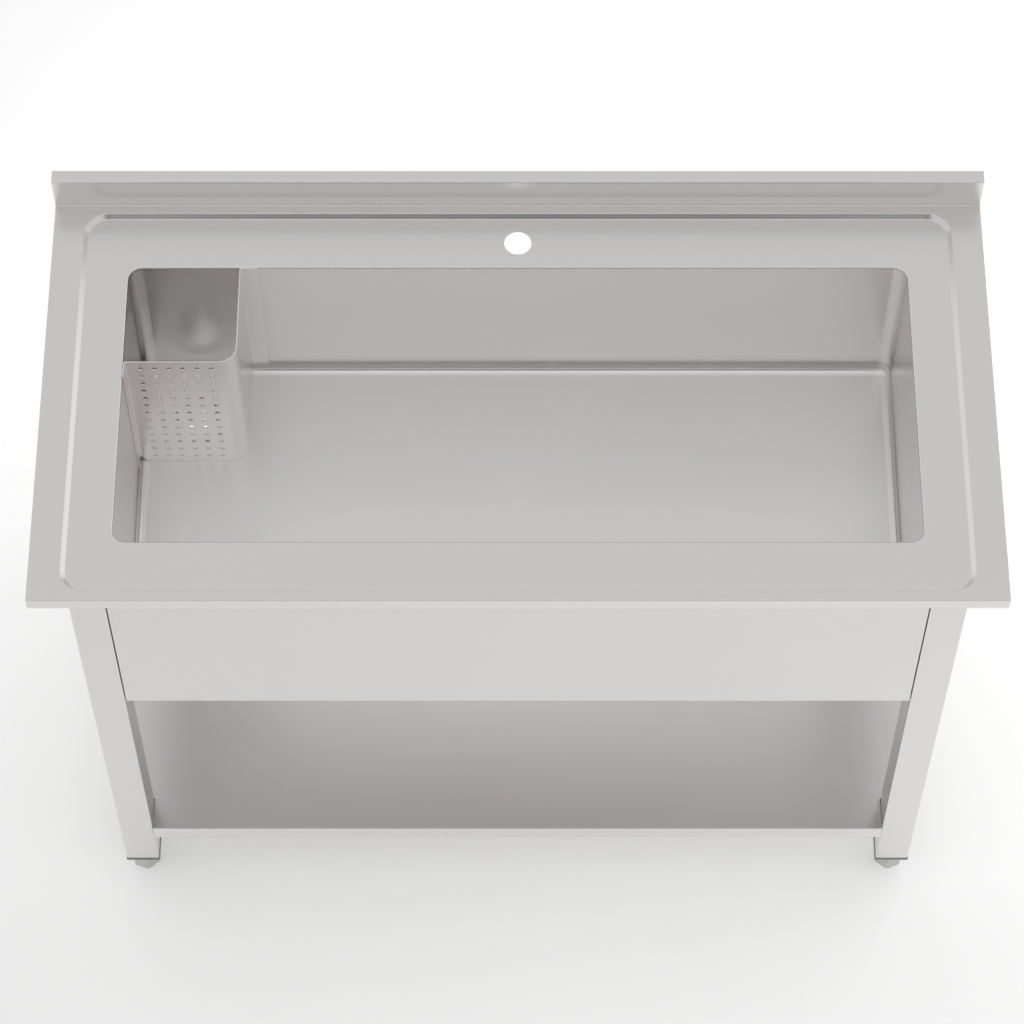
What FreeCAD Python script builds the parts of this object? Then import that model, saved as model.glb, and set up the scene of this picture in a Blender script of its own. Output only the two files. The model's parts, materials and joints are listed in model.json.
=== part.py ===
"""Commercial pot sink with one long bowl, a folded worktop, four legs and an undershelf.

Millimetres. X runs to the right, Y to the back and Z up. The origin is on the floor under
the middle of the worktop. The worktop, bowl, panels and waste are drawn from the front
edge of the worktop's raised rim, and the legs, shelf and feet from the floor.
"""
import FreeCAD, Part
import os
import re

import Sketcher
from FreeCAD import Placement, Rotation, Vector

# Driving sizes, in millimetres unless the name says otherwise
SIZES = {
    # Worktop
    "deck_length": 1200.0,
    "deck_depth": 600.0,
    "deck_height": 825.0,
    "deck_sheet": 1.2,
    "deck_lip": 20.0,
    "fold_round": 2.0,
    "upstand_height": 52.0,
    "upstand_depth": 19.0,
    "upstand_cove": 1.2,
    # Pressed drip recess in the worktop
    "recess_side": 39.0,
    "recess_front": 11.0,
    "recess_rear": 13.0,
    "recess_drop": 5.0,
    "recess_slope": 6.0,
    "recess_corner": 33.0,
    "recess_brow": 1.2,
    "recess_root": 1.8,
    # Tap hole
    "tap_bore": 35.0,
    "tap_setback": 74.6,
    # Bowl
    "bowl_side": 100.0,
    "bowl_front": 85.0,
    "bowl_rear": 113.0,
    "bowl_depth": 250.0,
    "bowl_sheet": 1.2,
    "bowl_corner": 17.0,
    "bowl_cove": 12.0,
    "neck_drop": 7.0,
    "neck_round": 2.8,
    # Waste outlet in the rear left corner of the bowl
    "drain_inset": 72.0,
    "seat_bore": 90.0,
    "seat_drop": 3.0,
    "seat_round": 2.0,
    "waste_bore": 50.0,
    "waste_thread": 59.6,
    "waste_flange": 84.0,
    "flange_thickness": 2.0,
    "waste_length": 46.0,
    "outlet_bore": 40.0,
    "outlet_thread": 47.8,
    "outlet_length": 26.0,
    "funnel": 4.0,
    "drain_clearance": 0.7,
    "gasket_width": 9.0,
    "gasket_thickness": 0.8,
    "washer_width": 11.0,
    "washer_thickness": 3.0,
    "nut_flats": 74.0,
    "nut_height": 11.0,
    "nut_clearance": 0.1,
    # Perforated corner guard
    "guard_span": 143.5,
    "guard_height": 246.0,
    "guard_sheet": 1.5,
    "guard_corner": 24.0,
    "guard_flange": 24.0,
    "guard_bend": 3.0,
    "guard_gap": 0.1,
    "guard_foot_cut": 13.0,
    "hole_bore": 6.0,
    "hole_pitch": 18.0,
    "hole_side": 20.4,
    "hole_top": 15.8,
    "hole_foot": 10.0,
    # Legs
    "leg_size": 45.0,
    "leg_wall": 1.2,
    "leg_round": 1.6,
    "leg_side": 50.0,
    "leg_front": 3.0,
    "leg_lift": 45.0,
    # Leg sockets under the worktop
    "socket_plate": 3.0,
    "socket_plate_length": 75.0,
    "socket_plate_edge": 2.0,
    "socket_wall": 2.0,
    "socket_length": 70.0,
    "socket_gap": 0.3,
    # Plastic leg ends
    "cap_flange": 3.0,
    "cap_edge": 1.0,
    "cap_plug": 20.0,
    "cap_round": 1.5,
    # Adjustable feet
    "foot_flats": 35.0,
    "foot_height": 39.0,
    "foot_chamfer": 1.5,
    "foot_turn": 8.5,
    "foot_stud": 10.0,
    "foot_stud_length": 60.0,
    "stud_clearance": 0.1,
    # Apron panels between the legs
    "panel_sheet": 1.0,
    "panel_return": 20.0,
    "panel_round": 1.0,
    "panel_gap": 1.25,
    "panel_top_gap": 0.5,
    "apron_bottom": 281.0,
    # Undershelf
    "shelf_top": 149.0,
    "shelf_sheet": 1.0,
    "shelf_lip": 27.0,
    "shelf_return": 12.0,
    "shelf_proud": 1.7,
    "shelf_gap": 0.4,
    "shelf_back_gap": 0.5,
    "shelf_slot": 2.2,
    "shelf_slot_margin": 2.5,
    "shelf_relief": 4.6,
    "shelf_round": 1.2,
    # Hat channels that stiffen the worktop and the shelf
    "channel_sheet": 1.2,
    "channel_height": 15.0,
    "channel_crown": 28.0,
    "channel_flange": 9.0,
    "channel_margin": 6.0,
    "side_channel_flange": 6.0,
    "side_channel_gap": 1.5,
    "tap_clear": 60.0,
    "shelf_channel_height": 20.0,
    "shelf_channel_crown": 50.0,
    "shelf_channel_flange": 15.0,
    # Hex bolts that hold the legs and the shelf
    "bolt_bore": 8.0,
    "bolt_head": 13.0,
    "bolt_head_height": 5.3,
    "bolt_length": 9.0,
    "bolt_clearance": 0.2,
    "socket_bolt_top": 25.0,
    "socket_bolt_pitch": 35.0,
    "socket_bolt_offset": 10.5,
    # Pan head screws that hold the apron panels
    "screw_bore": 5.0,
    "screw_head": 9.5,
    "screw_head_height": 3.0,
    "screw_length": 8.0,
    "screw_clearance": 0.15,
    "screw_edge": 10.0,
    "screw_top": 110.0,
    "screw_bottom": 250.0,
    # One overrun for every cut
    "overrun": 5.0,
}

# Sizes that follow from the driving sizes
FOLLOWING = {
    # Half turned angle of the recess slope sets how far its underside moves outwards
    "slope_shift": "deck_sheet * tan(atan(recess_drop / recess_slope) / 2)",
    "half_length": "deck_length / 2",
    "half_depth": "deck_depth / 2",
    "recess_left": "half_length - recess_side",
    "recess_back": "deck_depth - upstand_depth - recess_rear",
    "floor_left": "recess_left - recess_slope",
    "floor_front": "recess_front + recess_slope",
    "floor_back": "recess_back - recess_slope",
    "floor_corner": "recess_corner - recess_slope",
    "deck_under": "recess_drop + deck_sheet",
    "half_bowl": "half_length - bowl_side",
    "bowl_back": "deck_depth - bowl_rear",
    "neck_bottom": "recess_drop + neck_drop",
    "bowl_under": "bowl_depth + bowl_sheet",
    "drain_x": "drain_inset - half_bowl",
    "drain_y": "bowl_back - drain_inset",
    "drain_hole": "waste_thread + 2 * drain_clearance",
    "seat_floor": "bowl_depth + seat_drop",
    "seat_under": "seat_floor + bowl_sheet",
    "leg_outer": "half_length - leg_side",
    "leg_inner": "leg_outer - leg_size",
    "leg_x": "leg_outer - leg_size / 2",
    "leg_face": "half_depth - leg_front",
    "leg_back": "leg_face - leg_size",
    "leg_y": "leg_face - leg_size / 2",
    "leg_top": "deck_height - deck_under - socket_plate",
    "panel_top": "deck_under + socket_plate + panel_top_gap",
    "guard_foot": "bowl_depth - guard_gap",
    "guard_top": "guard_foot - guard_height",
    "guard_wall": "guard_gap - half_bowl",
    "guard_rear": "bowl_back - guard_gap",
    "guard_side": "guard_span - half_bowl",
    "guard_front": "bowl_back - guard_span",
    "hole_last": "guard_span - guard_corner - hole_bore / 2",
    "hole_columns": "floor((hole_last - hole_side) / hole_pitch) + 1",
    "hole_rows": "floor((guard_height - hole_top - hole_foot) / hole_pitch) + 1",
    "channel_half": "channel_crown / 2 + channel_flange",
    "side_channel_start": "half_bowl + neck_round + deck_sheet",
    "side_channel_end": "leg_outer - panel_return - side_channel_gap",
    "side_channel_crown": "side_channel_end - side_channel_start - 2 * side_channel_flange",
    "shelf_outer": "leg_outer + shelf_proud",
    "shelf_front": "leg_face + shelf_proud",
    "shelf_inner": "leg_inner - shelf_gap",
    "shelf_notch": "leg_back - shelf_back_gap",
    "slot_outer": "shelf_inner - shelf_sheet",
    "slot_inner": "slot_outer - shelf_slot",
    "slot_end": "shelf_front - shelf_slot_margin",
}

NEAR = 0.01  # how close an edge lies to the place where it is looked for

doc = FreeCAD.newDocument("pot_sink")
sizes = doc.addObject("Spreadsheet::Sheet", "sizes")
nodes = []


def expression(text):
    """Write the sheet's name before each size that an expression uses."""
    def place(found):
        word = found.group(0)
        return "sizes." + word if word in SIZES or word in FOLLOWING else word
    return re.sub(r"[a-z_]+", place, text)


def fill_sheet():
    """Put the driving sizes and those that follow from them into the sheet."""
    rows = [(name, str(value)) for name, value in SIZES.items()]
    rows += [(name, "=" + text) for name, text in FOLLOWING.items()]
    for row, (name, content) in enumerate(rows, start=1):
        sizes.set(f"A{row}", name)
        sizes.set(f"B{row}", content)
        sizes.setAlias(f"B{row}", name)
    doc.recompute()


def size(text):
    """Work out an expression of named sizes."""
    return float(sizes.evalExpression(re.sub(r"sizes\.", "", expression(text))))


def bind(thing, path, text):
    """Tie one property of an object to an expression of named sizes."""
    thing.setExpression(path, expression(text))


def place(thing, x="0", y="0", z="0", rotation=Rotation()):
    """Set an object's place, tied to the sheet, and its fixed rotation."""
    thing.Placement = Placement(Vector(size(x), size(y), size(z)), rotation)
    bind(thing, "Placement.Base.x", x)
    bind(thing, "Placement.Base.y", y)
    bind(thing, "Placement.Base.z", z)
    return thing


def node(thing, label):
    """Name an object and list it as a sub-part."""
    thing.Label = label
    nodes.append(thing)
    return thing


def new_body(name):
    """Start a body."""
    return doc.addObject("PartDesign::Body", name + "_body")


def hang_from_deck(body):
    """Place a body that is drawn from the front edge of the worktop's rim."""
    return place(body, "0", "-half_depth", "deck_height")


def plane_sketch(body, name, role, offset="0", side="0"):
    """Add a sketch on an origin plane, moved along its normal and to the side."""
    sketch = body.newObject("Sketcher::SketchObject", name)
    plane = next(item for item in body.Origin.OriginFeatures if item.Role == role)
    sketch.AttachmentSupport = [(plane, "")]
    sketch.MapMode = "FlatFace"
    bind(sketch, "AttachmentOffset.Base.x", side)
    bind(sketch, "AttachmentOffset.Base.z", offset)
    return sketch


def fix_value(sketch, kind, places, text):
    """Add a constraint whose value follows an expression of named sizes."""
    index = sketch.addConstraint(Sketcher.Constraint(kind, *places, size(text)))
    bind(sketch, f"Constraints[{index}]", text)


def draw_polygon(sketch, points):
    """Draw a closed outline through points given as pairs of expressions."""
    corners = [Vector(size(x), size(y), 0) for x, y in points]
    first = sketch.GeometryCount
    for start, end in zip(corners, corners[1:] + corners[:1]):
        sketch.addGeometry(Part.LineSegment(start, end))
    for number, (x, y) in enumerate(points):
        line = first + number
        after = first + (number + 1) % len(points)
        sketch.addConstraint(Sketcher.Constraint("Coincident", line, 2, after, 1))
        fix_value(sketch, "DistanceX", (-1, 1, line, 1), x)
        fix_value(sketch, "DistanceY", (-1, 1, line, 1), y)


def draw_circle(sketch, x, y, diameter):
    """Draw a circle."""
    centre = Vector(size(x), size(y), 0)
    circle = sketch.addGeometry(Part.Circle(centre, Vector(0, 0, 1), size(diameter) / 2))
    fix_value(sketch, "DistanceX", (-1, 1, circle, 3), x)
    fix_value(sketch, "DistanceY", (-1, 1, circle, 3), y)
    fix_value(sketch, "Diameter", (circle,), diameter)


def draw_rounded(sketch, left, right, bottom, top, radius):
    """Draw a rectangle with rounded corners."""
    low_x, high_x = size(left), size(right)
    low_y, high_y = size(bottom), size(top)
    round_ = size(radius)
    corners = [(low_x, low_y, 1, 1), (high_x, low_y, -1, 1),
               (high_x, high_y, -1, -1), (low_x, high_y, 1, -1)]
    centres = [Vector(x + round_ * dx, y + round_ * dy, 0) for x, y, dx, dy in corners]
    # Each side runs from one corner's arc to the next, and each arc turns a quarter
    outward = [Vector(0, -1, 0), Vector(1, 0, 0), Vector(0, 1, 0), Vector(-1, 0, 0)]
    first = sketch.GeometryCount
    for number in range(4):
        turned = outward[number] * round_
        after = (number + 1) % 4
        start, end = centres[number] + turned, centres[after] + turned
        sketch.addGeometry(Part.LineSegment(start, end))
        into = centres[after] + outward[after] * round_
        middle = centres[after] + (outward[number] + outward[after]).normalize() * round_
        sketch.addGeometry(Part.Arc(end, middle, into))
    for number in range(4):
        line = first + 2 * number
        arc = line + 1
        after = first + 2 * ((number + 1) % 4)
        sketch.addConstraint(Sketcher.Constraint("Tangent", line, 2, arc, 1))
        sketch.addConstraint(Sketcher.Constraint("Tangent", arc, 2, after, 1))
        direction = "Horizontal" if number % 2 == 0 else "Vertical"
        sketch.addConstraint(Sketcher.Constraint(direction, line))
    for number in range(1, 4):
        arc = first + 2 * number + 1
        sketch.addConstraint(Sketcher.Constraint("Equal", first + 1, arc))
    fix_value(sketch, "Radius", (first + 1,), radius)
    fix_value(sketch, "DistanceY", (-1, 1, first, 1), bottom)
    fix_value(sketch, "DistanceX", (-1, 1, first + 2, 1), right)
    fix_value(sketch, "DistanceY", (-1, 1, first + 4, 1), top)
    fix_value(sketch, "DistanceX", (-1, 1, first + 6, 1), left)


def draw_rectangle(sketch, left, right, bottom, top):
    """Draw a rectangle with sharp corners."""
    draw_polygon(sketch, [(left, bottom), (right, bottom), (right, top), (left, top)])


def feature(body, kind, name, sketch, length, up=False):
    """Pad or pocket a sketch; a pad points along its normal where up is true."""
    result = body.newObject("PartDesign::" + kind, name)
    result.Profile = sketch
    result.Reversed = (kind == "Pad") != up
    bind(result, "Length", length)
    body.Tip = result
    return result


def pad(body, name, sketch, length, up=False):
    """Add a sketch's area over a length, downwards unless up is true."""
    return feature(body, "Pad", name, sketch, length, up)


def pocket(body, name, sketch, length, up=False):
    """Cut a sketch's area away over a length, downwards unless up is true."""
    before = body_volume(body)
    result = feature(body, "Pocket", name, sketch, length, up)
    after = body_volume(body)
    if not after < before:
        raise ValueError(f"{name} cuts nothing")
    return result


def body_volume(body):
    """Work out a body's volume as built so far."""
    doc.recompute()
    return body.Tip.Shape.Volume


def inside(edge, ranges):
    """Tell whether an edge lies within three ranges, each a pair or None."""
    start, end = edge.ParameterRange
    points = [edge.valueAt(start), edge.valueAt((start + end) / 2), edge.valueAt(end)]
    for axis, limits in enumerate(ranges):
        if limits is None:
            continue
        low, high = (size(text) for text in limits)
        if any(not low - NEAR <= point[axis] <= high + NEAR for point in points):
            return False
    return True


def edges_within(shape, x=None, y=None, z=None):
    """Name the edges of a shape that lie within the ranges."""
    return [f"Edge{number}" for number, edge in enumerate(shape.Edges, start=1)
            if inside(edge, (x, y, z))]


def soften(body, name, radius, *boxes):
    """Round the edges of a body that lie within any of the boxes."""
    doc.recompute()
    base = body.Tip
    names = []
    for box in boxes:
        names += [edge for edge in edges_within(base.Shape, **box) if edge not in names]
    if not names:
        raise ValueError(f"{name} finds no edge")
    result = body.newObject("PartDesign::Fillet", name)
    result.Base = (base, names)
    bind(result, "Radius", radius)
    body.Tip = result
    return result


def box(name, x, y, z):
    """Add a box between pairs of expressions."""
    result = doc.addObject("Part::Box", name)
    for side, (low, high) in zip(("Length", "Width", "Height"), (x, y, z)):
        bind(result, side, f"({high}) - ({low})")
    return place(result, x[0], y[0], z[0])


def round_box(name, radius, shape, *boxes):
    """Round the edges of a primitive or boolean that lie within any of the boxes."""
    doc.recompute()
    result = doc.addObject("Part::Fillet", name)
    result.Base = shape
    wanted = []
    for ranges in boxes:
        limits = (ranges.get("x"), ranges.get("y"), ranges.get("z"))
        wanted += [number for number, edge in enumerate(shape.Shape.Edges, start=1)
                   if inside(edge, limits)]
    result.Edges = [(number, size(radius), size(radius)) for number in sorted(set(wanted))]
    return result


def combine(kind, name, first, second):
    """Cut, fuse or intersect two objects."""
    result = doc.addObject("Part::" + kind, name)
    result.Base = first
    result.Tool = second
    return result


def gather(name, parts):
    """Keep several solids together in one object."""
    result = doc.addObject("Part::Compound", name)
    result.Links = parts
    return result


def fuse_all(name, parts):
    """Fuse several objects into one."""
    result = doc.addObject("Part::MultiFuse", name)
    result.Shapes = parts
    return result


# Worktop
def make_worktop():
    """Folded sheet with lips, a boxed upstand, a pressed recess, a neck and a tap hole."""
    body = hang_from_deck(new_body("worktop"))
    block = plane_sketch(body, "deck_outline", "XY_Plane")
    draw_rectangle(block, "-half_length", "half_length", "0", "deck_depth")
    pad(body, "deck_block", block, "deck_lip")

    face = "deck_depth - upstand_depth"
    stand = plane_sketch(body, "upstand_outline", "XY_Plane", "-deck_sheet")
    draw_rectangle(stand, "-half_length", "half_length", face, "deck_depth")
    pad(body, "upstand_block", stand, "upstand_height + deck_sheet", up=True)

    across = ("-half_length", "half_length")
    soften(body, "upstand_bend", "upstand_cove", {"x": across, "y": (face, face), "z": ("0", "0")})
    tops = [{"x": across, "y": ("0", "0"), "z": ("0", "0")},
            {"x": across, "y": (face, face), "z": ("upstand_height", "upstand_height")},
            {"x": across, "y": ("deck_depth", "deck_depth"),
             "z": ("upstand_height", "upstand_height")}]
    soften(body, "long_bends", "fold_round", *tops)

    inner = "half_length - deck_sheet"
    under = plane_sketch(body, "lip_inside", "XY_Plane", "-deck_lip")
    draw_rectangle(under, f"-({inner})", inner, "deck_sheet", "deck_depth - deck_sheet")
    pocket(body, "deck_hollow", under, "deck_lip - deck_sheet", up=True)

    hollow = plane_sketch(body, "upstand_inside", "XY_Plane", "-deck_lip")
    draw_rectangle(hollow, f"-({inner})", inner, f"{face} + deck_sheet", "deck_depth - deck_sheet")
    pocket(body, "upstand_hollow", hollow, "deck_lip + upstand_height - deck_sheet", up=True)

    make_recess(body)
    make_neck(body)

    tap = plane_sketch(body, "tap_outline", "XY_Plane")
    draw_circle(tap, "0", "deck_depth - tap_setback", "tap_bore")
    pocket(body, "tap_hole", tap, "deck_under + overrun")
    return node(body, "worktop")


def recess_loft(body, kind, name, shift, level):
    """Loft between the upper and lower outline of the recess, moved out by a shift."""
    upper = plane_sketch(body, name + "_upper", "XY_Plane", f"-({level})")
    draw_rounded(upper, f"-recess_left - {shift}", f"recess_left + {shift}",
                 f"recess_front - {shift}", f"recess_back + {shift}",
                 f"recess_corner + {shift}")
    lower = plane_sketch(body, name + "_lower", "XY_Plane", f"-({level}) - recess_drop")
    draw_rounded(lower, f"-floor_left - {shift}", f"floor_left + {shift}",
                 f"floor_front - {shift}", f"floor_back + {shift}",
                 f"floor_corner + {shift}")
    result = body.newObject("PartDesign::" + kind, name)
    result.Profile = upper
    result.Sections = [lower]
    result.Ruled = True
    body.Tip = result
    return result


def make_recess(body):
    """Press the recess: the sheet's underside goes down with its top."""
    recess_loft(body, "AdditiveLoft", "recess_underside", "slope_shift", "deck_sheet")
    recess_loft(body, "SubtractiveLoft", "recess_top", "0", "0")
    soften(body, "upper_bend", "recess_brow",
           {"x": ("-recess_left", "recess_left"), "y": ("recess_front", "recess_back"),
            "z": ("0", "0")})
    soften(body, "lower_bend", "recess_root",
           {"x": ("-floor_left", "floor_left"), "y": ("floor_front", "floor_back"),
            "z": ("-recess_drop", "-recess_drop")})


def make_neck(body):
    """Open the recess over the bowl and turn its edge down to meet the bowl."""
    opening = plane_sketch(body, "opening_outline", "XY_Plane", "-recess_drop")
    draw_rounded(opening, "-half_bowl", "half_bowl", "bowl_front", "bowl_back", "bowl_corner")
    pocket(body, "opening", opening, "deck_sheet + overrun")
    neck = plane_sketch(body, "neck_outline", "XY_Plane", "-recess_drop")
    draw_rounded(neck, "-half_bowl - bowl_sheet", "half_bowl + bowl_sheet",
                 "bowl_front - bowl_sheet", "bowl_back + bowl_sheet",
                 "bowl_corner + bowl_sheet")
    draw_rounded(neck, "-half_bowl", "half_bowl", "bowl_front", "bowl_back", "bowl_corner")
    pad(body, "neck", neck, "neck_drop")
    soften(body, "neck_inside_bend", "neck_round - deck_sheet",
           {"x": ("-half_bowl - bowl_sheet", "half_bowl + bowl_sheet"),
            "y": ("bowl_front - bowl_sheet", "bowl_back + bowl_sheet"),
            "z": ("-deck_under", "-deck_under")})
    soften(body, "neck_bend", "neck_round",
           {"x": ("-half_bowl", "half_bowl"), "y": ("bowl_front", "bowl_back"),
            "z": ("-recess_drop", "-recess_drop")})


# Bowl
def make_bowl():
    """Deep tub welded under the worktop's neck, with a seat and a hole for the waste."""
    body = hang_from_deck(new_body("bowl"))
    outer = plane_sketch(body, "tub_outline", "XY_Plane", "-neck_bottom")
    draw_rounded(outer, "-half_bowl - bowl_sheet", "half_bowl + bowl_sheet",
                 "bowl_front - bowl_sheet", "bowl_back + bowl_sheet",
                 "bowl_corner + bowl_sheet")
    pad(body, "tub_block", outer, "bowl_under - neck_bottom")
    inner = plane_sketch(body, "tub_inside", "XY_Plane", "-neck_bottom")
    draw_rounded(inner, "-half_bowl", "half_bowl", "bowl_front", "bowl_back", "bowl_corner")
    pocket(body, "tub_hollow", inner, "bowl_depth - neck_bottom")
    soften(body, "tub_inner_cove", "bowl_cove",
           {"x": ("-half_bowl", "half_bowl"), "y": ("bowl_front", "bowl_back"),
            "z": ("-bowl_depth", "-bowl_depth")})
    soften(body, "tub_cove", "bowl_cove + bowl_sheet", {"z": ("-bowl_under", "-bowl_under")})

    boss = plane_sketch(body, "seat_underside", "XY_Plane", "-bowl_under")
    draw_circle(boss, "drain_x", "drain_y", "seat_bore + 2 * bowl_sheet")
    pad(body, "seat_boss", boss, "seat_drop")
    seat = plane_sketch(body, "seat_outline", "XY_Plane", "-bowl_depth")
    draw_circle(seat, "drain_x", "drain_y", "seat_bore")
    pocket(body, "seat", seat, "seat_drop")
    reach = "seat_bore / 2"
    soften(body, "seat_edge", "seat_round",
           {"x": (f"drain_x - {reach}", f"drain_x + {reach}"),
            "y": (f"drain_y - {reach}", f"drain_y + {reach}"),
            "z": ("-bowl_depth", "-bowl_depth")})
    hole = plane_sketch(body, "drain_outline", "XY_Plane", "-seat_floor")
    draw_circle(hole, "drain_x", "drain_y", "drain_hole")
    pocket(body, "drain", hole, "bowl_sheet + overrun")
    return node(body, "bowl")


# Waste outlet
def make_turned(label, points):
    """Turn a profile of radii and levels about the drain's axis."""
    body = place(new_body(label), "drain_x", "drain_y - half_depth", "deck_height")
    profile = plane_sketch(body, label + "_profile", "XZ_Plane")
    draw_polygon(profile, points)
    turned = body.newObject("PartDesign::Revolution", label + "_turned")
    turned.Profile = profile
    turned.ReferenceAxis = (profile, ["V_Axis"])
    body.Tip = turned
    return node(body, label)


def make_waste():
    """Waste body, the gasket over and the washer under the bowl, and its nut."""
    bore = "waste_bore / 2"
    thread = "waste_thread / 2"
    rim = "waste_flange / 2"
    gasket_top = "-seat_floor + gasket_thickness"
    flange_top = f"{gasket_top} + flange_thickness"
    bottom = "-seat_floor - waste_length"
    shoulder = f"{bottom} + outlet_length"
    tail = "outlet_bore / 2"
    make_turned("waste_body", [
        (tail, bottom), ("outlet_thread / 2", bottom), ("outlet_thread / 2", shoulder),
        (thread, shoulder), (thread, gasket_top), (rim, gasket_top),
        (rim, f"{gasket_top} + flange_thickness / 2"),
        (f"{rim} - flange_thickness / 2", flange_top),
        (f"{bore} + funnel", flange_top), (bore, f"{flange_top} - funnel"),
        (bore, f"{shoulder} + {bore} - {tail}"), (tail, shoulder)])
    hole = "drain_hole / 2"
    make_turned("waste_gasket", [
        (hole, "-seat_floor"), (f"{hole} + gasket_width", "-seat_floor"),
        (f"{hole} + gasket_width", gasket_top), (hole, gasket_top)])
    washer_bottom = "-seat_under - washer_thickness"
    make_turned("waste_washer", [
        (hole, washer_bottom), (f"{hole} + washer_width", washer_bottom),
        (f"{hole} + washer_width", "-seat_under"), (hole, "-seat_under")])
    make_waste_nut(washer_bottom)


def make_waste_nut(top):
    """Hexagonal nut that clamps the waste to the bowl."""
    body = place(new_body("waste_nut"), "drain_x", "drain_y - half_depth", "deck_height")
    outline = plane_sketch(body, "nut_outline", "XY_Plane", top)
    half = "nut_flats / 2"
    side = "nut_flats / 2 * tan(30)"
    point = "nut_flats / 2 / cos(30)"
    draw_polygon(outline, [(half, f"-{side}"), (half, side), ("0", point),
                           (f"-{half}", side), (f"-{half}", f"-{side}"), ("0", f"-{point}")])
    draw_circle(outline, "0", "0", "waste_thread + 2 * nut_clearance")
    pad(body, "nut_block", outline, "nut_height")
    return node(body, "waste_nut")


# Corner guard
def make_guard():
    """Folded perforated screen that stands round the waste in the bowl's corner."""
    body = hang_from_deck(new_body("corner_guard"))
    plan = plane_sketch(body, "guard_plan", "XY_Plane", "-guard_foot")
    thick = "guard_sheet"
    flange_end = "guard_front - guard_flange + guard_sheet"
    rear_end = "guard_side + guard_flange - guard_sheet"
    draw_polygon(plan, [
        ("guard_wall", flange_end), (f"guard_wall + {thick}", flange_end),
        (f"guard_wall + {thick}", "guard_front"), ("guard_side", "guard_front"),
        ("guard_side", f"guard_rear - {thick}"), (rear_end, f"guard_rear - {thick}"),
        (rear_end, "guard_rear"), (f"guard_side - {thick}", "guard_rear"),
        (f"guard_side - {thick}", f"guard_front + {thick}"),
        ("guard_wall", f"guard_front + {thick}")])
    pad(body, "guard_fold", plan, "guard_height", up=True)

    def upright(x, y):
        return {"x": (x, x), "y": (y, y)}

    soften(body, "corner_outside", "guard_corner", upright("guard_side", "guard_front"))
    soften(body, "corner_inside", "guard_corner - guard_sheet",
           upright(f"guard_side - {thick}", f"guard_front + {thick}"))
    soften(body, "flange_outside", "guard_bend",
           upright("guard_wall", f"guard_front + {thick}"),
           upright(f"guard_side - {thick}", "guard_rear"))
    soften(body, "flange_inside", "guard_bend - guard_sheet",
           upright(f"guard_wall + {thick}", "guard_front"),
           upright("guard_side", f"guard_rear - {thick}"))

    make_guard_feet(body)
    perforate(body, "front_holes", "XZ_Plane", "-guard_front", "hole_side - half_bowl", False)
    perforate(body, "side_holes", "YZ_Plane", "guard_side", "bowl_back - hole_side", True)
    return node(body, "corner_guard")


def make_guard_feet(body):
    """Cut the guard's lower corners away where the bowl's floor curves up."""
    low = "-bowl_depth"
    front = plane_sketch(body, "front_foot", "XZ_Plane", "-guard_front - overrun")
    draw_polygon(front, [("-half_bowl", low), ("guard_foot_cut - half_bowl", low),
                         ("-half_bowl", f"{low} + guard_foot_cut")])
    pocket(body, "front_foot_cut", front, "guard_flange + 3 * overrun", up=True)
    rear = plane_sketch(body, "rear_foot", "YZ_Plane", "guard_side - guard_corner")
    draw_polygon(rear, [("bowl_back", low), ("bowl_back - guard_foot_cut", low),
                        ("bowl_back", f"{low} + guard_foot_cut")])
    pocket(body, "rear_foot_cut", rear, "guard_corner + guard_flange + overrun", up=True)


def perforate(body, name, role, offset, first, backwards):
    """Drill one hole through a panel and repeat it in columns and rows."""
    start = plane_sketch(body, name + "_start", role, offset)
    draw_circle(start, first, "-guard_top - hole_top", "hole_bore")
    hole = pocket(body, name + "_first", start, "2 * guard_sheet")
    pattern = body.newObject("PartDesign::LinearPattern", name)
    pattern.Originals = [hole]
    pattern.Direction = (start, ["H_Axis"])
    pattern.Reversed = backwards
    pattern.Direction2 = (start, ["V_Axis"])
    pattern.Reversed2 = True
    bind(pattern, "Length", "hole_pitch * (hole_columns - 1)")
    bind(pattern, "Occurrences", "hole_columns")
    bind(pattern, "Length2", "hole_pitch * (hole_rows - 1)")
    bind(pattern, "Occurrences2", "hole_rows")
    body.Tip = pattern
    return pattern


# Hat channels
def make_channel(label, length, crown, flange, height, turn, x, y, z):
    """Hat channel with its flanges up against the sheet that it stiffens."""
    body = place(new_body(label), x, y, z, Rotation(Vector(0, 0, 1), turn))
    section = plane_sketch(body, label + "_section", "YZ_Plane", f"-({length}) / 2")
    half = f"{crown} / 2"
    full = f"{half} + {flange}"
    sheet = "channel_sheet"
    draw_polygon(section, [
        (full, "0"), (f"{half} - {sheet}", "0"), (f"{half} - {sheet}", f"{sheet} - {height}"),
        (f"{sheet} - {half}", f"{sheet} - {height}"), (f"{sheet} - {half}", "0"),
        (f"-({full})", "0"), (f"-({full})", f"-{sheet}"), (f"-{half}", f"-{sheet}"),
        (f"-{half}", f"-{height}"), (half, f"-{height}"), (half, f"-{sheet}"),
        (full, f"-{sheet}")])
    pad(body, label + "_run", section, length, up=True)
    return node(body, label)


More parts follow.
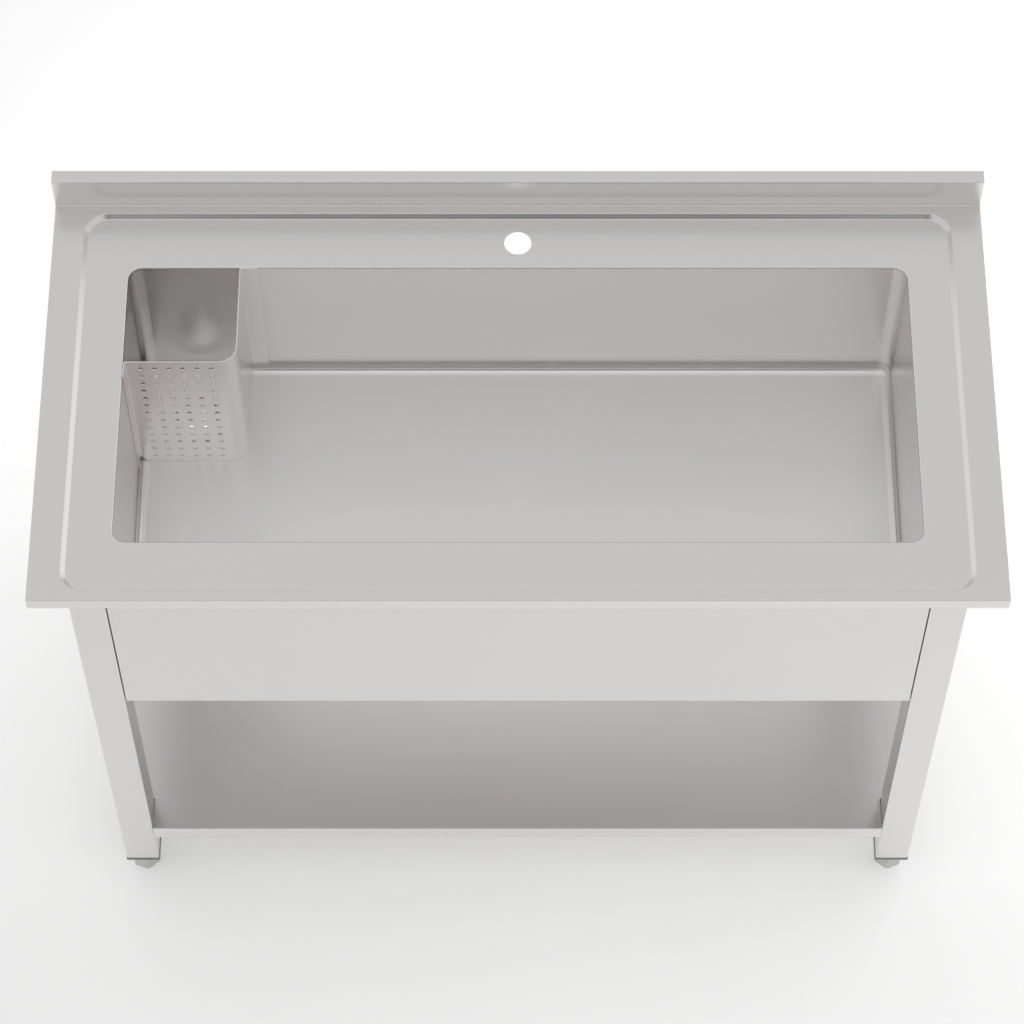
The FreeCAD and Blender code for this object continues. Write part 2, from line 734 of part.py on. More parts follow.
def make_channels():
    """Stiffeners under the worktop and the shelf."""
    hat = ("channel_crown", "channel_flange", "channel_height")
    under = "deck_height - deck_under"
    front_y = "(leg_front + panel_return + bowl_front - bowl_sheet) / 2 - half_depth"
    length = "2 * (half_bowl - channel_margin)"
    make_channel("front_deck_channel", length, *hat, 0, "0", front_y, under)
    rear_y = "bowl_back + bowl_sheet + channel_margin + channel_half - half_depth"
    part = "half_bowl - channel_margin - tap_clear"
    middle = "(half_bowl - channel_margin + tap_clear) / 2"
    make_channel("rear_left_deck_channel", part, *hat, 0, f"-{middle}", rear_y, under)
    make_channel("rear_right_deck_channel", part, *hat, 0, middle, rear_y, under)
    side_hat = ("side_channel_crown", "side_channel_flange", "channel_height")
    side_x = "(side_channel_start + side_channel_end) / 2"
    side = "deck_depth - 2 * leg_front - 2 * socket_plate_length - 2 * channel_margin"
    make_channel("left_deck_channel", side, *side_hat, 90, f"-{side_x}", "0", under)
    make_channel("right_deck_channel", side, *side_hat, 90, side_x, "0", under)
    shelf_hat = ("shelf_channel_crown", "shelf_channel_flange", "shelf_channel_height")
    shelf = "2 * (shelf_inner - shelf_return)"
    make_channel("shelf_channel", shelf, *shelf_hat, 0, "0", "0", "shelf_top - shelf_sheet")


# Corners: the left is -1 and the right 1, the front -1 and the rear 1
CORNERS = [("front_left", -1, -1), ("front_right", 1, -1),
           ("rear_left", -1, 1), ("rear_right", 1, 1)]


def span(side, near, far):
    """Give a low and a high expression for a stretch on one side of the middle."""
    return (near, far) if side > 0 else (f"-({far})", f"-({near})")


def rod(name, bore, length, axis, x, y, z):
    """Add a cylinder that starts at a place and runs along an axis."""
    result = doc.addObject("Part::Cylinder", name)
    bind(result, "Radius", f"({bore}) / 2")
    bind(result, "Height", length)
    return place(result, x, y, z, Rotation(Vector(0, 0, 1), axis))


def socket_bolt_places(side, depth):
    """Places on the inner face of a leg where its two socket bolts go in."""
    y = f"{depth} * (leg_y - socket_bolt_offset)"
    x = f"{side} * leg_inner"
    levels = [f"deck_height - socket_bolt_top - {row} * socket_bolt_pitch" for row in range(2)]
    return [(x, y, level) for level in levels]


def panel_screw_places(side, depth):
    """Places on a leg where panel screws go in, each with the axis that points into it."""
    levels = ["screw_top", "screw_bottom"]
    x = f"{side} * (leg_outer - screw_edge)"
    places = [(x, f"{depth} * leg_back", f"deck_height - {level}", Vector(0, depth, 0))
              for level in levels]
    if depth < 0:
        y = "screw_edge - leg_face"
        places += [(f"{side} * leg_inner", y, f"deck_height - {level}", Vector(side, 0, 0))
                   for level in levels]
    return places


def shelf_bolt_place(side, depth):
    """Place on the inner face of a leg where its shelf bolt goes in."""
    return (f"{side} * leg_x", f"{depth} * leg_back", "shelf_top - shelf_lip / 2")


def make_leg(corner, side, depth):
    """Square tube with holes for its bolts and screws."""
    tube = box(corner + "_tube", span(side, "leg_inner", "leg_outer"),
               span(depth, "leg_back", "leg_face"), ("leg_lift", "leg_top"))
    upright = [{"x": (f"{side} * {x}", f"{side} * {x}"), "y": (f"{depth} * {y}", f"{depth} * {y}")}
               for x in ("leg_inner", "leg_outer") for y in ("leg_back", "leg_face")]
    tube = round_box(corner + "_tube_round", "leg_round", tube, *upright)
    hollow = box(corner + "_hollow", span(side, "leg_inner + leg_wall", "leg_outer - leg_wall"),
                 span(depth, "leg_back + leg_wall", "leg_face - leg_wall"),
                 ("leg_lift - overrun", "leg_top + overrun"))
    cutters = [hollow]
    bolt_hole = "bolt_bore + 2 * bolt_clearance"
    screw_hole = "screw_bore + 2 * screw_clearance"
    for number, (x, y, z) in enumerate(socket_bolt_places(side, depth)):
        cutters.append(rod(f"{corner}_bolt_hole_{number}", bolt_hole, "leg_wall + 2 * overrun",
                           Vector(side, 0, 0), f"{x} - {side} * overrun", y, z))
    for number, (x, y, z, axis) in enumerate(panel_screw_places(side, depth)):
        start_x = f"{x} - ({axis.x}) * overrun"
        start_y = f"{y} - ({axis.y}) * overrun"
        cutters.append(rod(f"{corner}_screw_hole_{number}", screw_hole,
                           "leg_wall + 2 * overrun", axis, start_x, start_y, z))
    x, y, z = shelf_bolt_place(side, depth)
    cutters.append(rod(corner + "_shelf_hole", bolt_hole, "leg_wall + 2 * overrun",
                       Vector(0, depth, 0), x, f"{y} - {depth} * overrun", z))
    leg = combine("Cut", corner + "_leg_cut", tube, fuse_all(corner + "_leg_cutters", cutters))
    return node(leg, corner + "_leg")


def make_socket(corner, side, depth):
    """Plate welded under the worktop with a square spigot that fills the leg's top."""
    plate = box(corner + "_plate",
                span(side, "leg_inner - socket_plate_edge", "leg_outer + socket_plate_edge"),
                span(depth, "leg_face - socket_plate_length", "leg_face"),
                ("leg_top", "leg_top + socket_plate"))
    inset = "(leg_wall + socket_gap)"
    spigot = box(corner + "_spigot", span(side, f"leg_inner + {inset}", f"leg_outer - {inset}"),
                 span(depth, f"leg_back + {inset}", f"leg_face - {inset}"),
                 ("leg_top - socket_length", "leg_top"))
    wall = f"({inset} + socket_wall)"
    hollow = box(corner + "_spigot_hollow", span(side, f"leg_inner + {wall}", f"leg_outer - {wall}"),
                 span(depth, f"leg_back + {wall}", f"leg_face - {wall}"),
                 ("leg_top - socket_length - overrun", "leg_top"))
    cutters = [hollow]
    for number, (x, y, z) in enumerate(socket_bolt_places(side, depth)):
        cutters.append(rod(f"{corner}_socket_hole_{number}", "bolt_bore + 2 * bolt_clearance",
                           f"{wall} + overrun", Vector(side, 0, 0), x, y, z))
    solid = fuse_all(corner + "_socket_block", [plate, spigot])
    socket = combine("Cut", corner + "_socket_cut", solid,
                     fuse_all(corner + "_socket_cutters", cutters))
    return node(socket, corner + "_leg_socket")


def make_cap(corner, side, depth):
    """Plastic end pressed into the leg, with a thread for the foot's stud."""
    low = "leg_lift - cap_flange"
    flange = box(corner + "_flange", span(side, "leg_inner - cap_edge", "leg_outer + cap_edge"),
                 span(depth, "leg_back - cap_edge", "leg_face + cap_edge"), (low, "leg_lift"))
    sides = [{"x": (f"{side} * ({x})", f"{side} * ({x})"), "y": (f"{depth} * ({y})", f"{depth} * ({y})")}
             for x in ("leg_inner - cap_edge", "leg_outer + cap_edge")
             for y in ("leg_back - cap_edge", "leg_face + cap_edge")]
    flange = round_box(corner + "_flange_round", "cap_round", flange, *sides)
    inset = "(leg_wall + socket_gap)"
    plug = box(corner + "_plug", span(side, f"leg_inner + {inset}", f"leg_outer - {inset}"),
               span(depth, f"leg_back + {inset}", f"leg_face - {inset}"),
               ("leg_lift", "leg_lift + cap_plug"))
    bore = rod(corner + "_cap_bore", "foot_stud + 2 * stud_clearance",
               "cap_flange + cap_plug + 2 * overrun", Vector(0, 0, 1),
               f"{side} * leg_x", f"{depth} * leg_y", f"{low} - overrun")
    cap = combine("Cut", corner + "_cap_cut", fuse_all(corner + "_cap_block", [flange, plug]), bore)
    return node(cap, corner + "_leg_cap")


def make_foot(corner, side, depth):
    """Hexagonal foot on a stud that screws in and out of the leg's end."""
    x = f"{side} * leg_x"
    y = f"{depth} * leg_y"
    hexagon = doc.addObject("Part::Prism", corner + "_hexagon")
    hexagon.Polygon = 6
    bind(hexagon, "Circumradius", "foot_flats / 2 / cos(30)")
    bind(hexagon, "Height", "foot_height")
    turn = (30 - side * SIZES["foot_turn"]) % 60
    place(hexagon, x, y, "0", Rotation(Vector(0, 0, 1), turn))
    doc.recompute()
    bevel = doc.addObject("Part::Chamfer", corner + "_foot_bevel")
    bevel.Base = hexagon
    floor_edges = [number for number, edge in enumerate(hexagon.Shape.Edges, start=1)
                   if inside(edge, (None, None, ("0", "0")))]
    cut = size("foot_chamfer")
    bevel.Edges = [(number, cut, cut) for number in floor_edges]
    stud = rod(corner + "_stud", "foot_stud", "foot_stud_length", Vector(0, 0, 1),
               x, y, "foot_height")
    foot = fuse_all(corner + "_foot_joined", [bevel, stud])
    return node(foot, corner + "_foot")


# Fasteners
def make_fastener(name, head, bore, axis, x, y, z):
    """Head and shank of a bolt or screw whose head seats at a place and points along an axis."""
    head_height = f"{head}_height"
    back = Rotation(Vector(0, 0, 1), axis)
    start = [f"{text} - ({part}) * {head_height}" for text, part in zip((x, y, z), axis)]
    if head == "bolt_head":
        top = doc.addObject("Part::Prism", name + "_head")
        top.Polygon = 6
        bind(top, "Circumradius", "bolt_head / 2 / cos(30)")
    else:
        top = doc.addObject("Part::Cylinder", name + "_head")
        bind(top, "Radius", "screw_head / 2")
    bind(top, "Height", head_height)
    place(top, *start, back)
    shank = rod(name + "_shank", bore, bore.replace("bore", "length"), axis, x, y, z)
    return fuse_all(name, [top, shank])


def make_fasteners():
    """Bolts for the sockets and shelf and screws for the apron panels."""
    socket_bolts = []
    shelf_bolts = []
    screws = []
    for corner, side, depth in CORNERS:
        for number, (x, y, z) in enumerate(socket_bolt_places(side, depth)):
            socket_bolts.append(make_fastener(f"{corner}_socket_bolt_{number}", "bolt_head",
                                              "bolt_bore", Vector(side, 0, 0), x, y, z))
        x, y, z = shelf_bolt_place(side, depth)
        seat = f"{depth} * (leg_back - shelf_back_gap - shelf_sheet)"
        shelf_bolts.append(make_fastener(corner + "_shelf_bolt", "bolt_head", "bolt_bore",
                                         Vector(0, depth, 0), x, seat, z))
        reach = "(panel_gap + panel_sheet)"
        for number, (x, y, z, axis) in enumerate(panel_screw_places(side, depth)):
            screws.append(make_fastener(f"{corner}_screw_{number}", "screw_head", "screw_bore",
                                        axis, f"{x} - ({axis.x}) * {reach}",
                                        f"{y} - ({axis.y}) * {reach}", z))
    node(gather("socket_bolt_group", socket_bolts), "socket_bolts")
    node(gather("shelf_bolt_group", shelf_bolts), "shelf_bolts")
    node(gather("panel_screw_group", screws), "panel_screws")


# Apron panels
def make_panel(label, width, turn, x, y):
    """Tray of folded sheet: a face with a return on each side and screw holes in two of them."""
    body = place(new_body(label), x, y, "deck_height - panel_top", Rotation(Vector(0, 0, 1), turn))
    half = f"({width}) / 2"
    height = "apron_bottom - panel_top"
    outline = plane_sketch(body, label + "_outline", "XZ_Plane")
    draw_rectangle(outline, f"-{half}", half, f"-({height})", "0")
    pad(body, label + "_block", outline, "panel_return")
    soften(body, label + "_folds", "panel_round", {"y": ("0", "0")})
    inner = plane_sketch(body, label + "_inner", "XZ_Plane", "-panel_return")
    draw_rectangle(inner, f"panel_sheet - {half}", f"{half} - panel_sheet",
                   f"panel_sheet - ({height})", "-panel_sheet")
    pocket(body, label + "_hollow", inner, "panel_return - panel_sheet", up=True)
    drilled = plane_sketch(body, label + "_drilled", "YZ_Plane", f"-{half} - overrun")
    for level in ("screw_top", "screw_bottom"):
        draw_circle(drilled, "screw_edge", f"panel_top - {level}",
                    "screw_bore + 2 * screw_clearance")
    pocket(body, label + "_holes", drilled, f"{width} + 2 * overrun", up=True)
    return node(body, label)


def make_panels():
    """Front, left and right aprons between the legs; the back is open for pipes."""
    between = "2 * (leg_inner - panel_gap)"
    beside = "2 * (leg_back - panel_gap)"
    make_panel("front_apron", between, 0, "0", "-leg_face")
    make_panel("right_apron", beside, 90, "leg_outer", "0")
    make_panel("left_apron", beside, -90, "-leg_outer", "0")


# Undershelf
def shelf_outline(inset):
    """Outline of the shelf, notched at the legs and moved in by an inset."""
    outer = f"(shelf_outer - {inset})"
    front = f"(shelf_front - {inset})"
    inner = f"(shelf_inner - {inset})"
    notch = f"(shelf_notch - {inset})"
    quarter = [(outer, notch), (inner, notch), (inner, front)]
    points = list(quarter)
    points += [(f"-{x}", y) for x, y in reversed(quarter)]
    points += [(f"-{x}", f"-{y}") for x, y in quarter]
    points += [(x, f"-{y}") for x, y in reversed(quarter)]
    return points


def make_shelf():
    """Folded tray with its open side down, notched round the legs and bolted to them.

    Beside each leg the top sheet is cut free of the lip by a slot that ends in a round relief.
    """
    body = place(new_body("shelf"), "0", "0", "shelf_top")
    block = plane_sketch(body, "shelf_plan", "XY_Plane")
    draw_polygon(block, shelf_outline("0"))
    pad(body, "shelf_block", block, "shelf_lip")
    across = ("-shelf_inner", "shelf_inner")
    along = ("-shelf_notch", "shelf_notch")
    soften(body, "shelf_folds", "shelf_round",
           {"x": across, "y": ("-shelf_front", "-shelf_front"), "z": ("0", "0")},
           {"x": across, "y": ("shelf_front", "shelf_front"), "z": ("0", "0")},
           {"x": ("-shelf_outer", "-shelf_outer"), "y": along, "z": ("0", "0")},
           {"x": ("shelf_outer", "shelf_outer"), "y": along, "z": ("0", "0")})
    inside_plan = plane_sketch(body, "shelf_inside", "XY_Plane", "shelf_sheet - shelf_lip")
    draw_polygon(inside_plan, shelf_outline("shelf_sheet"))
    pocket(body, "shelf_hollow", inside_plan, "shelf_lip - 2 * shelf_sheet", up=True)
    mouth = plane_sketch(body, "shelf_mouth", "XY_Plane", "-shelf_lip")
    draw_polygon(mouth, shelf_outline("shelf_return"))
    pocket(body, "shelf_opening", mouth, "shelf_sheet", up=True)
    slots = plane_sketch(body, "shelf_slots", "XY_Plane")
    reliefs = plane_sketch(body, "shelf_reliefs", "XY_Plane")
    for side in (-1, 1):
        for depth in (-1, 1):
            draw_rectangle(slots, *span(side, "slot_inner", "slot_outer"),
                           *span(depth, "shelf_notch", "slot_end"))
            draw_circle(reliefs, f"{side} * (slot_inner + slot_outer) / 2",
                        f"{depth} * shelf_notch", "shelf_relief")
    pocket(body, "shelf_slots_cut", slots, "shelf_sheet")
    pocket(body, "shelf_relief_holes", reliefs, "shelf_sheet")
    drilled = plane_sketch(body, "shelf_drilled", "XZ_Plane", "-shelf_front")
    for side in (-1, 1):
        draw_circle(drilled, f"{side} * leg_x", "-shelf_lip / 2", "bolt_bore + 2 * bolt_clearance")
    pocket(body, "shelf_bolt_holes", drilled, "2 * shelf_front", up=True)
    return node(body, "shelf")


def check_and_write():
    """Refuse a failed object or shape, then write each sub-part to its own file."""
    doc.recompute()
    for item in doc.Objects:
        if "Invalid" in item.State or "Error" in item.State:
            raise ValueError(f"{item.Label} failed: {item.State}")
    labels = [item.Label for item in nodes]
    if len(labels) != len(set(labels)):
        raise ValueError("two sub-parts share a name")
    for item in nodes:
        if item.Shape.isNull() or not item.Shape.isValid() or not item.Shape.Solids:
            raise ValueError(f"{item.Label} has no valid solid")
    os.makedirs("parts", exist_ok=True)
    for item in nodes:
        item.Shape.exportStep(f"parts/{item.Label}.step")
        corner = item.Shape.BoundBox
        print(f"{item.Label:26s} solids {len(item.Shape.Solids):2d}  volume "
              f"{item.Shape.Volume / 1000:9.2f} cm3  x {corner.XMin:8.2f} {corner.XMax:8.2f}"
              f"  y {corner.YMin:8.2f} {corner.YMax:8.2f}  z {corner.ZMin:8.2f} {corner.ZMax:8.2f}")


fill_sheet()
make_worktop()
make_bowl()
make_waste()
make_guard()
make_channels()
for corner_name, corner_side, corner_depth in CORNERS:
    make_leg(corner_name, corner_side, corner_depth)
    make_socket(corner_name, corner_side, corner_depth)
    make_cap(corner_name, corner_side, corner_depth)
    make_foot(corner_name, corner_side, corner_depth)
make_panels()
make_shelf()
make_fasteners()
check_and_write()
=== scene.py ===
"""Looks of the commercial pot sink: satin stainless steel, plastic leg ends, soft studio light.

Lengths are in metres. Seen from the front, x runs to the right and y to the rear.
"""

import json
import math

import bmesh
import bpy
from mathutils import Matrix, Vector


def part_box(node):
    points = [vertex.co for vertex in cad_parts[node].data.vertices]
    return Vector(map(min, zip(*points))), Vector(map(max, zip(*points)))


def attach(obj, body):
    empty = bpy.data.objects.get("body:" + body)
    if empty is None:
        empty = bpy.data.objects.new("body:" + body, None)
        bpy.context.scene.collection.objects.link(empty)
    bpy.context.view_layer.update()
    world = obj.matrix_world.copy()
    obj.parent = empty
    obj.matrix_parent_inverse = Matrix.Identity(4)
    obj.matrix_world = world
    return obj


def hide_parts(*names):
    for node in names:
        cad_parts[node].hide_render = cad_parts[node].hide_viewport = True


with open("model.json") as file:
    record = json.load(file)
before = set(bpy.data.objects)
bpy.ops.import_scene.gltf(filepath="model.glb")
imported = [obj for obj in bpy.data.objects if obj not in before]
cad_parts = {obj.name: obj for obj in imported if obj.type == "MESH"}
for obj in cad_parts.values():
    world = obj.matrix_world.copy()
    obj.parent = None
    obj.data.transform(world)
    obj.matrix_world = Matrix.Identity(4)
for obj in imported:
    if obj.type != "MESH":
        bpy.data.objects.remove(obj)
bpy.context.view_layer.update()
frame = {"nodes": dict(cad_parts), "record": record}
nodes = frame["nodes"]
scene = bpy.context.scene

# Shader values
NOISE_LOW, NOISE_HIGH = 0.3, 0.7       # nearly all values of a noise lie between these
FINE_STREAKS, BROAD_STREAKS = 1300.0, 800.0      # cells per metre across the brushing
STREAK_LENGTH = 130                    # how many times longer than wide a streak is
FINE_SHARE, BROAD_SHARE = 0.55, 0.45
END_ON = 0.75                          # share of a normal along the brushing that turns streaks
STREAK_GLOSS = 0.004                   # how far the roughness varies from streak to streak
BRUSHED_DEPTH, GRAIN_DEPTH = 0.0004, 0.0003      # heights of the relief at full strength
MIX_A, MIX_B, MIX_RESULT = 4, 5, 1     # the vector sockets of a mix node


# Shader helpers
def new_material(name):
    """Start a material with an empty node tree."""
    material = bpy.data.materials.new(name)
    material.use_nodes = True
    material.node_tree.nodes.clear()
    return material


def add(tree, kind, **values):
    """Add a node; values that name an input set it, and the others are properties."""
    made = tree.nodes.new(kind)
    for key, value in values.items():
        if hasattr(made, key):
            setattr(made, key, value)
        else:
            made.inputs[key.replace("_", " ")].default_value = value
    return made


def link(tree, source, output, target, socket):
    tree.links.new(source.outputs[output], target.inputs[socket])


def stretched(tree, along, fine):
    """Object coordinates squeezed so that noise draws streaks along one axis.

    Faces that look along that axis get streaks along another axis instead.
    """
    place = add(tree, "ShaderNodeTexCoord")
    face = add(tree, "ShaderNodeNewGeometry")
    parts = add(tree, "ShaderNodeSeparateXYZ")
    link(tree, face, "Normal", parts, 0)
    turned = add(tree, "ShaderNodeMath", operation="ABSOLUTE")
    link(tree, parts, "XYZ".index(along), turned, 0)
    gate = add(tree, "ShaderNodeMath", operation="GREATER_THAN")
    gate.inputs[1].default_value = END_ON
    link(tree, turned, 0, gate, 0)
    other = {"X": "Z", "Y": "Z", "Z": "X"}[along]
    scales = []
    for axis in (along, other):
        scale = [fine, fine, fine]
        scale["XYZ".index(axis)] = fine / STREAK_LENGTH
        mapping = add(tree, "ShaderNodeMapping")
        mapping.inputs["Scale"].default_value = scale
        link(tree, place, "Object", mapping, "Vector")
        scales.append(mapping)
    mix = add(tree, "ShaderNodeMix", data_type="VECTOR")
    link(tree, gate, 0, mix, "Factor")
    link(tree, scales[0], 0, mix, MIX_A)
    link(tree, scales[1], 0, mix, MIX_B)
    return mix.outputs[MIX_RESULT]


def noise(tree, vector, scale, detail, rough):
    made = add(tree, "ShaderNodeTexNoise", Scale=scale, Detail=detail, Roughness=rough)
    tree.links.new(vector, made.inputs["Vector"])
    return made.outputs["Fac"]


def spread(tree, value, low, high):
    """Value between low and high that follows a noise."""
    made = add(tree, "ShaderNodeMapRange", From_Min=NOISE_LOW, From_Max=NOISE_HIGH,
               To_Min=low, To_Max=high)
    tree.links.new(value, made.inputs["Value"])
    return made.outputs["Result"]


def shade(tree, value, dark, light):
    """Colour between dark and light that follows a noise."""
    ramp = add(tree, "ShaderNodeValToRGB")
    ends = ramp.color_ramp.elements
    for end, position, colour in ((ends[0], NOISE_LOW, dark), (ends[1], NOISE_HIGH, light)):
        end.position = position
        end.color = (*colour, 1)
    tree.links.new(value, ramp.inputs["Fac"])
    return ramp.outputs["Color"]


def add_relief(tree, shader, height, strength, depth):
    bump = add(tree, "ShaderNodeBump", Strength=strength, Distance=depth)
    tree.links.new(height, bump.inputs["Height"])
    link(tree, bump, "Normal", shader, "Normal")


def finish_surface(tree, shader):
    output = add(tree, "ShaderNodeOutputMaterial")
    link(tree, shader, "BSDF", output, "Surface")


def tinted(colour, factor):
    return tuple(min(1.0, part * factor) for part in colour)


# Materials
def satin_steel(name, colour, rough, along, grain=0.008, relief=0.0015, handled=0.01):
    """Brushed stainless: fine streaks in colour, gloss and relief, and faint handling marks."""
    material = new_material(name)
    tree = material.node_tree
    streaks = stretched(tree, along, FINE_STREAKS)
    broad = stretched(tree, along, BROAD_STREAKS)
    place = add(tree, "ShaderNodeTexCoord")
    fine = noise(tree, streaks, scale=1.0, detail=3.0, rough=0.6)
    band = noise(tree, broad, scale=1.0, detail=2.0, rough=0.5)
    cloud = noise(tree, place.outputs["Object"], scale=4.5, detail=3.0, rough=0.55)
    both = add(tree, "ShaderNodeMath", operation="MULTIPLY_ADD")
    both.inputs[1].default_value = FINE_SHARE
    tree.links.new(fine, both.inputs[0])
    eased = add(tree, "ShaderNodeMath", operation="MULTIPLY")
    eased.inputs[1].default_value = BROAD_SHARE
    tree.links.new(band, eased.inputs[0])
    link(tree, eased, 0, both, 2)
    brushed = both.outputs[0]
    shader = add(tree, "ShaderNodeBsdfPrincipled", Metallic=1.0, Anisotropic=0.35)
    tree.links.new(shade(tree, brushed, tinted(colour, 1 - grain), tinted(colour, 1 + grain)),
                   shader.inputs["Base Color"])
    wipe = spread(tree, cloud, -handled, handled)
    base = spread(tree, brushed, rough - STREAK_GLOSS, rough + STREAK_GLOSS)
    total = add(tree, "ShaderNodeMath", operation="ADD")
    tree.links.new(wipe, total.inputs[0])
    tree.links.new(base, total.inputs[1])
    link(tree, total, 0, shader, "Roughness")
    add_relief(tree, shader, brushed, relief, BRUSHED_DEPTH)
    finish_surface(tree, shader)
    return material


def plain_metal(name, colour, rough, scale):
    """Polished or turned metal with fine marks all over, in cells per metre."""
    material = new_material(name)
    tree = material.node_tree
    place = add(tree, "ShaderNodeTexCoord")
    marks = noise(tree, place.outputs["Object"], scale, detail=4.0, rough=0.6)
    shader = add(tree, "ShaderNodeBsdfPrincipled", Metallic=1.0)
    tree.links.new(shade(tree, marks, tinted(colour, 0.93), tinted(colour, 1.06)),
                   shader.inputs["Base Color"])
    tree.links.new(spread(tree, marks, rough - 0.06, rough + 0.08), shader.inputs["Roughness"])
    add_relief(tree, shader, marks, strength=0.05, depth=GRAIN_DEPTH)
    finish_surface(tree, shader)
    return material


def moulded(name, colour, rough):
    """Moulded plastic or rubber with a fine spark-eroded grain."""
    material = new_material(name)
    tree = material.node_tree
    place = add(tree, "ShaderNodeTexCoord")
    grain = noise(tree, place.outputs["Object"], scale=700.0, detail=3.0, rough=0.6)
    cloud = noise(tree, place.outputs["Object"], scale=30.0, detail=2.0, rough=0.5)
    shader = add(tree, "ShaderNodeBsdfPrincipled")
    tree.links.new(shade(tree, cloud, tinted(colour, 0.86), tinted(colour, 1.15)),
                   shader.inputs["Base Color"])
    tree.links.new(spread(tree, grain, rough - 0.07, rough + 0.07), shader.inputs["Roughness"])
    add_relief(tree, shader, grain, strength=0.12, depth=GRAIN_DEPTH)
    finish_surface(tree, shader)
    return material


# The bowl, guard, shelf and aprons keep a roughness over 0.28: with less, renders of few
# samples show ripples on the flat sheets and lose the guard's holes
STEEL = (0.80, 0.783, 0.776)
# STEEL is one steel. Its tinted copies below paint light and shade into its colour: the bowl and
# guard are drawn lighter (painted light), and the panels and legs darker (painted shade), in
# place of differences in the light they mirror
looks = {
    "stainless_worktop": satin_steel("worktop_steel", STEEL, 0.25, "X"),
    # Painted light: the bowl's copy of the steel is drawn lighter
    "stainless_bowl": satin_steel("bowl_steel_painted_light", tinted(STEEL, 1.035), 0.283, "X", grain=0.004,
                                  relief=0.0005, handled=0.004),
    # Painted shade: the panels' copy of the steel is drawn slightly darker
    "stainless_panel": satin_steel("panel_steel", tinted(STEEL, 0.99), 0.29, "X", grain=0.002,
                                   relief=0.0003),
    # Painted shade: the legs' copy of the steel is drawn darker
    "stainless_tube": satin_steel("tube_steel_painted_shade", tinted(STEEL, 0.95), 0.25, "Z", relief=0.001),
    "hidden_steel": satin_steel("mill_steel", (0.66, 0.655, 0.645), 0.38, "X", grain=0.05,
                                relief=0.003),
    # Painted light: the guard's copy of the steel is drawn lighter
    "perforated_steel": satin_steel("guard_steel_painted_light", tinted(STEEL, 1.085), 0.285, "X",
                                    grain=0.004, relief=0.0008, handled=0.005),
    "waste_steel": plain_metal("waste_steel", (0.80, 0.79, 0.78), 0.24, 420.0),
    "seal_rubber": moulded("seal_rubber", (0.045, 0.045, 0.047), 0.62),
    "nut_plastic": moulded("nut_plastic", (0.80, 0.80, 0.77), 0.42),
    "cap_plastic": moulded("cap_plastic", (0.205, 0.205, 0.21), 0.5),
    "foot_steel": plain_metal("foot_steel", (0.56, 0.56, 0.555), 0.32, 500.0),
    "bolt_steel": plain_metal("bolt_steel", (0.72, 0.71, 0.70), 0.28, 900.0),
}
# Painted shade: the side and front aprons take darker copies of the same steel, standing in for
# darker light mirrored in them
side_panel_steel_painted_shade = satin_steel("side_panel_steel_painted_shade", tinted(STEEL, 0.95), 0.29, "Y", grain=0.002,
                               relief=0.0003)
apron_steel_painted_shade = satin_steel("apron_steel_painted_shade", tinted(STEEL, 0.95), 0.29, "X", grain=0.002,
                          relief=0.0003)

for part in frame["record"]["subparts"]:
    piece = nodes[part["node"]]
    piece.data.materials.clear()
    piece.data.materials.append(looks[part["material_slot"]])
for name, steel in (("left_apron", side_panel_steel_painted_shade), ("right_apron", side_panel_steel_painted_shade),
                    ("front_apron", apron_steel_painted_shade)):
    nodes[name].data.materials[0] = steel


# Mesh helpers
def add_piece(name, mesh, body, slot, *replaced):
    """Show a mesh as a piece of a body, in the look of a slot, instead of CAD nodes."""
    piece = bpy.data.objects.new(name, mesh)
    scene.collection.objects.link(piece)
    mesh.materials.clear()
    mesh.materials.append(looks[slot])
    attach(piece, body)
    if replaced:
        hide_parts(*replaced)
    return piece


def even_faces(piece):
    """Keep flat faces flat in the shading, so that only the rolled edges look round."""
    piece.modifiers.new("even_faces", "WEIGHTED_NORMAL")


def roll_edges(work, radius, sharp):
    """Round each edge over an angle by a small radius, and shade all faces smooth."""
    edges = [edge for edge in work.edges
             if len(edge.link_faces) == 2 and edge.calc_face_angle() > sharp]
    bmesh.ops.bevel(work, geom=edges, offset=radius, offset_type="OFFSET", segments=2,
                    profile=0.5, affect="EDGES", clamp_overlap=True, loop_slide=True)
    for face in work.faces:
        face.smooth = True


def steps(start, end, count):
    return [start + (end - start) * i / count for i in range(count + 1)]


def ring_tube(work, rings):
    """Join rings of points into a wall; each ring has the same number of points."""
    made = [[work.verts.new(point) for point in ring] for ring in rings]
    for low, high in zip(made, made[1:]):
        for i in range(len(low)):
            j = (i + 1) % len(low)
            work.faces.new((low[i], low[j], high[j], high[i]))
    return made


def closed_tube(work, rings):
    """Join rings of points into a wall, and close both its ends."""
    made = ring_tube(work, rings)
    work.faces.new(list(reversed(made[0])))
    work.faces.new(made[-1])


def add_face(work, points):
    work.faces.new([work.verts.new(point) for point in points])


# Feet: hexagons on threaded studs. The left is -1 and the right is 1
FOOT_SIDES = {"front_left": -1, "front_right": 1, "rear_left": -1, "rear_right": 1}
FOOT_APOTHEM = 0.0175            # half the width across the flats
FOOT_CORNER = 0.0035             # radius of the hexagon's corners
FOOT_CORNER_PARTS = 6
FOOT_TURN = 8.5                  # degrees, the other way on the right than on the left
# Heights in a foot's wall, and how far inside the flats the wall is there
FOOT_PROFILE = [(0.0, 0.0024), (0.00012, 0.0019), (0.0005, 0.0013), (0.0013, 0.0005),
                (0.0019, 0.00012), (0.0026, 0.0), (0.0372, 0.0), (0.0380, 0.00015),
                (0.0386, 0.0006), (0.0389, 0.0012), (0.0390, 0.0019)]
STUD_FOOT = 0.0385               # the stud starts inside the hexagon
STUD_RADIUS = 0.005
THREAD_PITCH = 0.0015
THREAD_DEPTH = 0.0009
THREAD_AROUND = 36
RINGS_PER_TURN = 10


